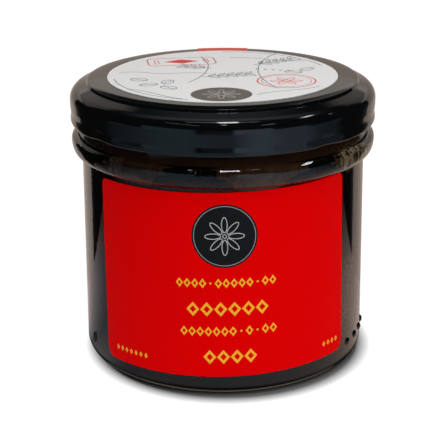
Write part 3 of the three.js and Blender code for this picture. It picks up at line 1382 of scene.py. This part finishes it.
@dataclass
class Babas:
    """The mini babas: domed corks of sponge in two tiers, pressed flat against the glass."""

    jar: Jar
    height: float = 28.5
    foot_radius: float = 10.2
    waist_radius: float = 11.3
    cap_radius: float = 12.6
    cap_height: float = 22.0
    round_count: int = 7
    tier_radius: float = 25.0
    tier_count: int = 2
    tier_step: float = 28.2
    core_radius: float = 21.0
    core_top: float = 56.0
    core_step: float = 4.0
    core_facets: int = 48
    # How far babas differ: lean, direction and turn in degrees, height in millimetres, size as a share
    lean: float = 5.0
    swerve: float = 2.0
    spin: float = 40.0
    lift: float = 0.8
    growth: float = 0.03
    swelling: float = 4.5
    overlap: float = 0.12
    floor_gap: float = 0.05
    tier_gap: float = 1.0
    grain: float = 0.95
    # The sponge's surface: swells of two sizes, and pores that are sunk in it
    relief: float = 0.45
    swell_scale: float = 0.16
    fine_scale: float = 0.6
    fine_share: float = 0.45
    pore_depth: float = 0.55
    pore_scale: float = 0.62
    pore_edge: float = 0.42
    seed_step: Triple = (31.7, 17.3, 5.9)

    def outline(self) -> list[Vector]:
        """Draws one baba: a narrow foot, a cork's body and a cap that has risen over it.

        Returns:
            Points of radius and height.
        """
        return evenly(
            rounded(
                [
                    Corner(0, 0),
                    Corner(self.foot_radius, 0.3, 1.6),
                    Corner(self.waist_radius, self.cap_height - 5, 6),
                    Corner(self.cap_radius, self.cap_height - 1.5, 1.8),
                    Corner(self.cap_radius * 0.9, self.cap_height + 3, 5),
                    Corner(self.cap_radius * 0.5, self.height - 0.6, 7),
                    Corner(0, self.height),
                ]
            ),
            self.grain,
        )

    def relieve(self, body: bmesh.types.BMesh, seed: int) -> None:
        """Gives a baba its uneven sponge surface with open pores.

        Args:
            body: The baba, standing at the origin.
            seed: Its number, so that no two are alike.
        """
        body.normal_update()
        shift = Vector([step * seed for step in self.seed_step])
        moves = []
        for point in body.verts:
            spot = point.co + shift
            fine = noise.noise(spot * self.fine_scale)
            swell = noise.noise(spot * self.swell_scale) + self.fine_share * fine
            near = noise.voronoi(spot * self.pore_scale)[0][0]
            pore = max(0.0, 1 - near / self.pore_edge)
            moves.append(self.relief * swell - self.pore_depth * pore)
        for point, move in zip(body.verts, moves):
            point.co += point.normal * move

    def stand(self, index: int, distance: float, angle: float, base: float) -> Matrix:
        """Gives a baba's place in the jar, a little leaning and turned its own way.

        Args:
            index: Its number.
            distance: How far it stands from the jar's axis.
            angle: Its direction from the axis, in degrees.
            base: The height of its tier.

        Returns:
            The matrix that puts it there.
        """
        return (
            Matrix.Rotation(math.radians(angle + self.swerve * sway(index, 6)), 4, "Z")
            @ Matrix.Translation((distance, 0, base + self.lift * sway(index, 5)))
            @ Matrix.Rotation(math.radians(self.lean * sway(index, 4)), 4, "Y")
            @ Matrix.Rotation(math.radians(self.lean * sway(index, 3)), 4, "X")
            @ Matrix.Rotation(math.radians(self.spin * sway(index, 2)), 4, "Z")
            @ Matrix.Scale(1 + self.growth * sway(index, 1), 4)
        )

    def press(self, body: bmesh.types.BMesh) -> None:
        """Presses the heap flat on the glass, and keeps how deep in the syrup each point lay.

        Args:
            body: The whole heap.
        """
        depth = body.verts.layers.float.new(DEPTH_LAYER)
        floor = self.jar.inner_floor + self.jar.inner_rise + self.floor_gap
        for point in body.verts:
            point.co.z = max(point.co.z, floor)
            reach = point.co.xy.length
            wall = self.jar.inside_radius(point.co.z) - self.jar.inside_lean(point.co.z)
            point[depth] = max(wall - reach, 0)
            if point[depth] < self.swelling:
                point.co.xy *= (wall + self.overlap) / reach
            elif point[depth] < 2 * self.swelling:
                share = 2 - point[depth] / self.swelling
                point.co.xy *= (reach + (wall + self.overlap - reach) * share**2) / reach

    def build(self) -> bpy.types.Object:
        """Makes the heap of babas over its core.

        Returns:
            The heap's piece.
        """
        floor = self.jar.inner_floor + self.jar.inner_rise
        core = [
            Corner(0, floor),
            Corner(self.core_radius, floor),
            Corner(self.core_radius, self.core_top),
            Corner(0, self.core_top),
        ]
        heap = turned(evenly(rounded(core), self.core_step), self.core_facets)
        base = floor + self.tier_gap
        spots = []
        for tier in range(self.tier_count):
            for i in range(self.round_count):
                angle = 360 / self.round_count * (i + (1 - tier) / 2)
                spots.append((self.tier_radius, angle, base + tier * self.tier_step))
        spots.append((0.0, 0.0, base + (self.tier_count - 1) * self.tier_step))
        store = bpy.data.meshes.new("one_baba")
        for index, (distance, angle, foot) in enumerate(spots):
            baba = turned(self.outline(), math.ceil(math.tau * self.cap_radius / self.grain))
            self.relieve(baba, index)
            bmesh.ops.transform(baba, matrix=self.stand(index, distance, angle, foot), verts=baba.verts)
            baba.to_mesh(store)
            baba.free()
            heap.from_mesh(store)
        bpy.data.meshes.remove(store)
        self.press(heap)
        made = piece("mini_babas", heap, SoakedSponge("Syrup-soaked yeast sponge"), sharp=180)
        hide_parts("babas")
        return made


@dataclass
class Syrup:
    """The dark syrup between the babas. It reaches a little into the glass, so no air shows."""

    jar: Jar
    level: float = 65.6
    overlap: float = 0.05
    meniscus: float = 0.7
    meniscus_width: float = 0.4

    def build(self) -> bpy.types.Object:
        """Makes the syrup.

        Returns:
            The syrup's piece.
        """
        low = self.jar.inner_floor - self.overlap
        radius = self.jar.inner_radius + self.overlap
        lip = radius - self.jar.inside_lean(self.level + self.meniscus)
        line = rounded(
            [
                Corner(0, low + self.jar.inner_rise),
                Corner(radius, low, self.jar.inner_round + self.overlap),
                Corner(radius, self.jar.body_top, self.jar.inner_neck_round),
                Corner(lip, self.level + self.meniscus),
                Corner(lip - self.meniscus_width, self.level, 0.6),
                Corner(0, self.level),
            ]
        )
        made = piece("dark_syrup", turned(line), CoffeeSyrup("Coffee and spirit syrup"), sharp=60)
        return made


@dataclass(frozen=True)
class Panel:
    """A lit part of the studio's surroundings, seen from the jar.

    Angles are in degrees. The azimuth is counted from straight behind the jar towards +X.
    """

    azimuth: float
    half_width: float
    low: float
    high: float
    radiance: float
    tint: Triple = (1.0, 1.0, 1.0)
    soft: float = 2.0


@dataclass(frozen=True)
class Lamp:
    """A flat lamp that faces the lid: angles in degrees from the front, sizes in millimetres."""

    name: str
    azimuth: float
    elevation: float
    distance: float
    size: Pair
    radiance: float
    tint: Triple = (1.0, 1.0, 1.0)
    roll: float = 0.0
    mirrored: bool = True


@dataclass
class Studio:
    """Plain pale floor, soft lamps, pale backdrop and the camera."""

    dark: float = 0.012
    through_glass: float = 0.25
    floor_radius: float = 420.0
    floor_grey: float = 0.2
    floor_roughness: float = 0.9
    # The floor's glow rises from none to full over the ramp, round a middle moved by the shift: a painted
    # contact shadow
    floor_glow: Pair = (0.0, 0.95)
    floor_shadow_ramp: Pair = (37.9, 42.4)
    floor_shadow_shift: Triple = (-1.2, 2.6, 0.0)
    table_edges: tuple[float, float, float, float] = (-430, 430, -370, 40)
    # The table's glow fades near the jar: a painted contact shadow that the gloss mirrors
    table_contact_shadow: Pair = (40.5, 46.0)
    table_ramp: Pair = (70.0, 190.0)
    # The table's linear colours near the jar and far from it, each at an angle from the front towards +X
    table_near: tuple[tuple[float, Triple], ...] = (
        (-180, (0.62, 0.52, 0.46)),
        (-130, (0.82, 0.70, 0.66)),
        (-108, (0.55, 0.47, 0.48)),
        (-84, (0.22, 0.21, 0.23)),
        (-66, (0.46, 0.42, 0.43)),
        (-50, (0.26, 0.25, 0.27)),
        (-30, (0.40, 0.38, 0.39)),
        (0, (0.42, 0.40, 0.42)),
        (30, (0.50, 0.46, 0.47)),
        (62, (0.60, 0.48, 0.42)),
        (76, (0.70, 0.52, 0.42)),
        (95, (0.78, 0.62, 0.54)),
        (112, (0.70, 0.56, 0.49)),
        (130, (0.62, 0.52, 0.46)),
    )
    table_far: tuple[tuple[float, Triple], ...] = (
        (-180, (0.012, 0.012, 0.012)),
        (-92, (0.012, 0.012, 0.012)),
        (-82, (0.06, 0.09, 0.11)),
        (-65, (0.12, 0.17, 0.22)),
        (-40, (0.22, 0.33, 0.40)),
        (-25, (0.24, 0.37, 0.44)),
        (-8, (0.20, 0.28, 0.36)),
        (6, (0.20, 0.28, 0.36)),
        (20, (0.50, 0.64, 0.82)),
        (30, (0.52, 0.68, 0.85)),
        (42, (0.36, 0.47, 0.61)),
        (60, (0.30, 0.40, 0.52)),
        (70, (0.13, 0.18, 0.22)),
        (84, (0.08, 0.12, 0.15)),
        (93, (0.012, 0.012, 0.012)),
    )
    # The first six panels stand behind the jar and the next two over them. The wide one is high up, and
    # the last six are low, in front and at the sides
    panels: tuple[Panel, ...] = (
        Panel(2.45, 46.15, -50, -4, 0.12, (1.0, 0.88, 0.79), 12.0),
        Panel(-21.85, 21.85, -50, -16.5, 0.52, (1.0, 0.83, 0.72), 1.0),
        Panel(-19.4, 19.4, -16.5, 14, 0.5, (1.0, 0.83, 0.72), 1.0),
        Panel(23.6, 23.6, -50, -16.5, 0.44, (1.0, 0.78, 0.65), 1.0),
        Panel(22.0, 22.0, -16.5, 14, 0.44, (1.0, 0.82, 0.72), 1.0),
        Panel(2.45, 46.15, 14, 18.5, 0.62, (1.0, 0.94, 0.86), 3.0),
        Panel(-34, 20, 18.5, 42, 0.38, (1.0, 0.9, 0.85), 8.0),
        Panel(28, 20, 18.5, 36, 0.28, (1.0, 0.92, 0.88), 8.0),
        Panel(0, 80, 62, 200, 0.6, (0.95, 1.0, 1.05), 40.0),
        Panel(-140, 20, -40, 14, 1.0, (0.24, 0.36, 0.44), 6.0),
        Panel(158, 14, -40, 14, 1.0, (0.52, 0.68, 0.85), 4.0),
        Panel(180, 14, -16, 6, 0.1, (0.6, 0.85, 1.0), 5.0),
        Panel(130, 14, -40, 2, 1.0, (0.34, 0.45, 0.59), 4.0),
        Panel(100, 16, -40, -4, 1.0, (0.11, 0.17, 0.21), 6.0),
        Panel(-105, 15, -40, -4, 1.0, (0.12, 0.17, 0.22), 6.0),
    )
    lamps: tuple[Lamp, ...] = (
        Lamp("overhead_lamp", 11, 77, 1200, (190, 220), 15),
        Lamp("overhead_tube", 0, 78, 1200, (720, 45), 4),
        Lamp("front_lamp", 1.3, 56, 1200, (63, 60), 12),
        Lamp("left_tube", -38, 51.2, 1200, (500, 15), 6, (1.0, 0.9, 0.78), -12.8),
        Lamp("right_lamp", 39, 42.5, 1200, (190, 24), 7),
        Lamp("right_tube", 95, 52.3, 1200, (218, 75), 12),
        Lamp("far_right_lamp", 97.5, 34, 1200, (70, 50), 3),
        Lamp("top_softbox", 20, 80, 700, (700, 700), 2.2, mirrored=False),
        Lamp("high_softbox", 26, 58, 900, (600, 450), 1.7, mirrored=False),
        Lamp("front_softbox", 27, 24, 900, (600, 500), 2.0, mirrored=False),
    )
    lamps_aim: float = 75.0
    # Place and lens are in millimetres and angles in radians, as they were worked out from the photograph
    camera_place: Triple = (0, -344.22, 158.37)
    camera_pitch: float = 0.3383
    camera_yaw: float = -0.0049
    camera_roll: float = -0.0074
    camera_lens: float = 103.72
    camera_sensor: float = 36.0
    camera_nearest: float = 10.0
    bounces: int = 24
    transmission_bounces: int = 20
    transparent_bounces: int = 16

    def world(self) -> None:
        """Makes the surroundings: plain white to the camera, and lit panels in the dark to all else.

        Rays that have passed through glass get them dimmed, or the heel's lower edge would glow.
        """
        world = bpy.data.worlds.new("Studio")
        bpy.context.scene.world = world
        world.use_nodes = True
        tree = world.node_tree
        tree.nodes.clear()
        direction = add_node(tree, "TexCoord").outputs["Generated"]
        axes = add_node(tree, "SeparateXYZ", inputs={0: direction})
        azimuth = add_node(
            tree, "Math", {"operation": "ARCTAN2"}, {0: axes.outputs["X"], 1: axes.outputs["Y"]}
        )
        elevation = add_node(tree, "Math", {"operation": "ARCSINE"}, {0: axes.outputs["Z"]})
        light = add_node(tree, "VectorMath", {"operation": "ADD"}, {0: (self.dark,) * 3, 1: (0.0,) * 3})
        for panel in self.panels:
            turn = add_node(
                tree,
                "Math",
                {"operation": "SUBTRACT"},
                {0: azimuth.outputs[0], 1: math.radians(panel.azimuth)},
            )
            off = add_node(
                tree, "Math", {"operation": "WRAP"}, {0: turn.outputs[0], 1: math.pi, 2: -math.pi}
            )
            away = add_node(tree, "Math", {"operation": "ABSOLUTE"}, {0: off.outputs[0]})
            share = panel.radiance
            for value, edge, side in (
                (away, panel.half_width, -1),
                (elevation, panel.low, 1),
                (elevation, panel.high, -1),
            ):
                step = add_node(
                    tree,
                    "MapRange",
                    SMOOTH,
                    {
                        "Value": value.outputs[0],
                        "From Min": math.radians(edge - side * panel.soft / 2),
                        "From Max": math.radians(edge + side * panel.soft / 2),
                    },
                )
                share = add_node(
                    tree, "Math", {"operation": "MULTIPLY"}, {0: share, 1: step.outputs["Result"]}
                ).outputs[0]
            part = add_node(tree, "VectorMath", {"operation": "SCALE"}, {0: panel.tint, "Scale": share})
            light = add_node(
                tree, "VectorMath", {"operation": "ADD"}, {0: light.outputs[0], 1: part.outputs[0]}
            )
        lit = add_node(tree, "Background", inputs={"Color": light.outputs[0]})
        white = add_node(tree, "Background", inputs={"Color": (1.0, 1.0, 1.0, 1.0)})
        path = add_node(tree, "LightPath")
        dim = add_node(
            tree,
            "MapRange",
            inputs={
                "Value": path.outputs["Is Transmission Ray"],
                "To Min": 1.0,
                "To Max": self.through_glass,
            },
        )
        tree.links.new(dim.outputs["Result"], lit.inputs["Strength"])
        mix = add_node(
            tree,
            "MixShader",
            inputs={
                0: path.outputs["Is Camera Ray"],
                1: lit.outputs["Background"],
                2: white.outputs["Background"],
            },
        )
        add_node(tree, "OutputWorld", inputs={"Surface": mix.outputs["Shader"]})

    def light(self, lamp: Lamp) -> None:
        """Puts a lamp in its place, facing the jar.

        Args:
            lamp: The lamp.
        """
        data = bpy.data.lights.new(lamp.name, "AREA")
        data.shape = "RECTANGLE"
        data.size, data.size_y = (side * MM for side in lamp.size)
        data.energy = lamp.radiance * math.pi * data.size * data.size_y
        data.color = lamp.tint
        made = bpy.data.objects.new(lamp.name, data)
        bpy.context.scene.collection.objects.link(made)
        turn = math.radians(lamp.azimuth)
        rise = math.radians(lamp.elevation)
        away = Vector((math.sin(turn) * math.cos(rise), -math.cos(turn) * math.cos(rise), math.sin(rise)))
        made.location = (away * lamp.distance + Vector((0, 0, self.lamps_aim))) * MM
        roll = Matrix.Rotation(math.radians(lamp.roll), 3, "Z")
        made.rotation_euler = (away.to_track_quat("Z", "Y").to_matrix() @ roll).to_euler()
        made.visible_camera = False
        made.visible_glossy = lamp.mirrored
        made.visible_diffuse = not lamp.mirrored
        made.visible_transmission = not lamp.mirrored

    def sheet(self, name: str, corners: int, size: Pair, centre: Triple) -> bpy.types.Object:
        """Lays a flat sheet that isn't part of the object.

        Args:
            name: Its name.
            corners: How many corners it has.
            size: Its half width and half depth.
            centre: Its middle.

        Returns:
            The sheet, marked as stage.
        """
        flat = bmesh.new()
        bmesh.ops.create_circle(flat, cap_ends=True, segments=corners, radius=1)
        if corners == 4:
            bmesh.ops.rotate(flat, matrix=Matrix.Rotation(math.pi / 4, 3, "Z"), verts=flat.verts)
            bmesh.ops.scale(flat, vec=(2**0.5, 2**0.5, 1), verts=flat.verts)
        bmesh.ops.scale(flat, vec=(*size, 1), verts=flat.verts)
        bmesh.ops.translate(flat, vec=centre, verts=flat.verts)
        bmesh.ops.scale(flat, vec=(MM, MM, MM), verts=flat.verts)
        mesh = bpy.data.meshes.new(name)
        flat.to_mesh(mesh)
        flat.free()
        made = bpy.data.objects.new(name, mesh)
        bpy.context.scene.collection.objects.link(made)
        return made

    def floor(self) -> None:
        """Makes the pale floor, whose glow fades towards the jar, where its shadow falls."""
        made = self.sheet("pale_floor", 96, (self.floor_radius, self.floor_radius), (0, 0, 0))
        made.visible_glossy = False
        made.visible_transmission = False
        paint = bpy.data.materials.new("Pale matt studio floor")
        paint.use_nodes = True
        tree = paint.node_tree
        place = add_node(tree, "TexCoord").outputs["Object"]
        # Painted contact shadow: the glow fades towards the jar, round a middle moved off its axis
        shifted = add_node(
            tree,
            "VectorMath",
            {"operation": "ADD"},
            {0: place, 1: tuple(shift * MM for shift in self.floor_shadow_shift)},
        )
        away = add_node(tree, "VectorMath", {"operation": "LENGTH"}, {0: shifted.outputs["Vector"]})
        glow = add_node(
            tree,
            "MapRange",
            inputs={
                "Value": away.outputs["Value"],
                **ends("From", self.floor_shadow_ramp, MM),
                **ends("To", self.floor_glow),
            },
        )
        shader = tree.nodes["Principled BSDF"]
        grey = self.floor_grey
        shader.inputs["Base Color"].default_value = (grey, grey, grey, 1)
        shader.inputs["Roughness"].default_value = self.floor_roughness
        shader.inputs["Specular IOR Level"].default_value = 0.0
        shader.inputs["Emission Color"].default_value = (1, 1, 1, 1)
        tree.links.new(glow.outputs["Result"], shader.inputs["Emission Strength"])
        made.data.materials.append(paint)

    def table(self) -> None:
        """Makes the grey table in front of the jar, which only the gloss mirrors."""
        left, right, front, back = self.table_edges
        size = ((right - left) / 2, (back - front) / 2)
        made = self.sheet("grey_table", 4, size, ((left + right) / 2, (front + back) / 2, -1.0))
        for kind in ("camera", "diffuse", "transmission", "shadow"):
            setattr(made, "visible_" + kind, False)
        paint = bpy.data.materials.new("Grey table top")
        paint.use_nodes = True
        tree = paint.node_tree
        tree.nodes.clear()
        place = add_node(tree, "TexCoord").outputs["Object"]
        ahead = add_node(tree, "VectorMath", {"operation": "MULTIPLY"}, {0: place, 1: (1, -1, 0)})
        axes = add_node(tree, "SeparateXYZ", inputs={0: ahead.outputs["Vector"]})
        turn = add_node(
            tree, "Math", {"operation": "ARCTAN2"}, {0: axes.outputs["X"], 1: axes.outputs["Y"]}
        )
        share = add_node(
            tree,
            "MapRange",
            inputs={"Value": turn.outputs[0], "From Min": -math.pi, "From Max": math.pi},
        )
        near, far = (add_node(tree, "ValToRGB", inputs={"Fac": share.outputs["Result"]}) for _ in range(2))
        for ramp, colours in ((near, self.table_near), (far, self.table_far)):
            stops = ramp.color_ramp.elements
            stops.remove(stops[1])
            stops[0].color = (*colours[0][1], 1)
            for angle, colour in colours[1:]:
                stops.new((angle + 180) / 360).color = (*colour, 1)
        away = add_node(tree, "VectorMath", {"operation": "LENGTH"}, {0: place})
        span = ends("From", self.table_ramp, MM)
        leaving = add_node(tree, "MapRange", SMOOTH, {"Value": away.outputs["Value"], **span})
        tone = add_node(
            tree,
            "Mix",
            MIX_COLOURS,
            {
                MIX_SHARE: leaving.outputs["Result"],
                MIX_FIRST: near.outputs["Color"],
                MIX_LAST: far.outputs["Color"],
            },
        )
        # Painted contact shadow: the glow fades near the jar's foot
        span = ends("From", self.table_contact_shadow, MM)
        lit = add_node(tree, "MapRange", SMOOTH, {"Value": away.outputs["Value"], **span})
        glow = add_node(
            tree,
            "Emission",
            inputs={"Color": tone.outputs[MIX_RESULT], "Strength": lit.outputs["Result"]},
        )
        add_node(tree, "OutputMaterial", inputs={"Surface": glow.outputs["Emission"]})
        made.data.materials.append(paint)

    def camera(self) -> None:
        """Puts the camera where the photograph was taken from."""
        ahead = Vector(
            (
                math.sin(self.camera_yaw) * math.cos(self.camera_pitch),
                math.cos(self.camera_yaw) * math.cos(self.camera_pitch),
                -math.sin(self.camera_pitch),
            )
        )
        right = ahead.cross(Vector((0, 0, 1))).normalized()
        above = right.cross(ahead)
        roll = self.camera_roll
        level = right * math.cos(roll) + above * math.sin(roll)
        upward = above * math.cos(roll) - right * math.sin(roll)
        data = bpy.data.cameras.new("camera")
        data.lens = self.camera_lens
        data.sensor_width = self.camera_sensor
        data.clip_start = self.camera_nearest * MM
        made = bpy.data.objects.new("camera", data)
        bpy.context.scene.collection.objects.link(made)
        turn = Matrix((level, upward, -ahead)).transposed()
        made.matrix_world = Matrix.Translation(Vector(self.camera_place) * MM) @ turn.to_4x4()
        bpy.context.scene.camera = made

    def build(self) -> None:
        """Makes the whole studio."""
        self.world()
        for lamp in self.lamps:
            self.light(lamp)
        self.floor()
        self.table()
        self.camera()
        scene = bpy.context.scene
        scene.view_settings.view_transform = "Standard"
        scene.view_settings.look = "None"
        scene.cycles.use_denoising = True
        scene.cycles.use_adaptive_sampling = False
        scene.cycles.max_bounces = self.bounces
        scene.cycles.transmission_bounces = self.transmission_bounces
        scene.cycles.transparent_max_bounces = self.transparent_bounces
        log.info("studio: %d lamps, %d panels", len(self.lamps), len(self.panels))


def main() -> None:
    """Builds the studio and the jar with everything on and in it."""
    logging.basicConfig(level=logging.INFO, format="%(message)s")
    Studio().build()
    jar = Jar()
    jar.build()
    lid = Lid()
    lid.build()
    Label(jar).build()
    LidSticker(lid).build()
    SealStrip(lid).build()
    Babas(jar).build()
    Syrup(jar).build()


if __name__ == "__main__":
    main()
